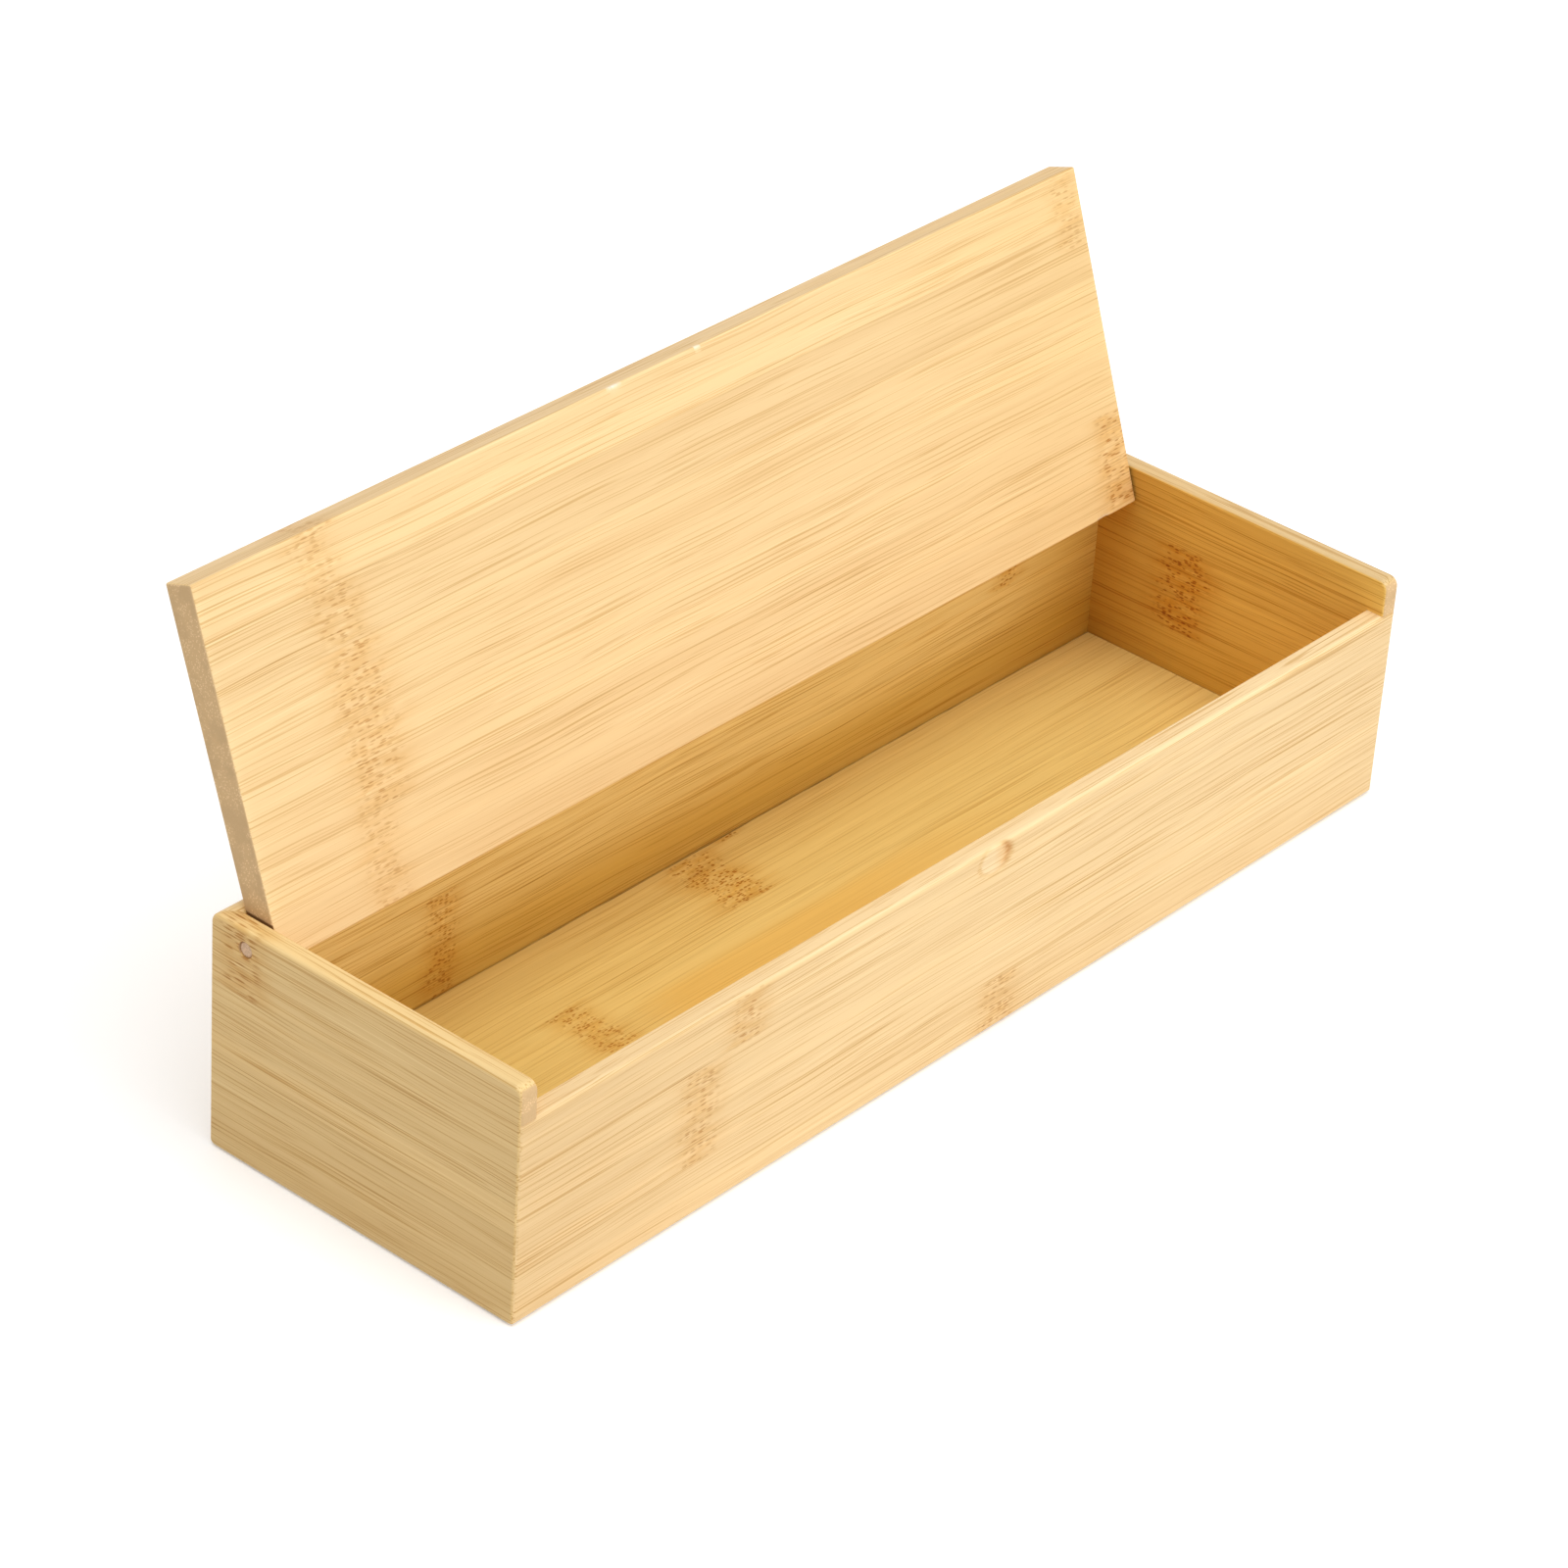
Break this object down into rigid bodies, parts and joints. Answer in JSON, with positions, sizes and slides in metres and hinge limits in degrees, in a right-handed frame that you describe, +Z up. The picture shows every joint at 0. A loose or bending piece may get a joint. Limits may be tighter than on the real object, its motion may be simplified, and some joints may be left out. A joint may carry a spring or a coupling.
{
  "type": "lidded cutlery box",
  "caption": "Long bamboo cutlery box with mitred walls, a low front and a flat lid that swings back on dowel pivots in its end panels.",
  "frame": {"origin": "middle of the box's footprint, on the plane that it stands on", "axes": "+X along the box, to the right seen from the front; +Y from front to back; +Z up"},
  "size_m": [0.3, 0.1096, 0.1312],
  "materials": {
    "end_bamboo": "satin bamboo, grain along the board",
    "front_bamboo": "satin bamboo, grain along the board",
    "back_bamboo": "satin bamboo, grain along the board",
    "floor_bamboo": "satin bamboo, grain along the board",
    "lid_bamboo": "satin bamboo, grain along the board",
    "dowel_wood": "bare end grain"
  },
  "bodies": {
    "box": {"left_end_panel": "end_bamboo", "right_end_panel": "end_bamboo", "front_panel": "front_bamboo", "back_panel": "back_bamboo", "floor_panel": "floor_bamboo", "left_pivot_pin": "dowel_wood", "right_pivot_pin": "dowel_wood"},
    "lid": {"lid_panel": "lid_bamboo"}
  },
  "joints": [
    {"name": "lid_swing", "type": "hinge", "parent": "box", "child": "lid", "pos_m": [0, 0.0345, 0.0551], "axis": [1, 0, 0], "range_deg": [0, 109.47]}
  ]
}
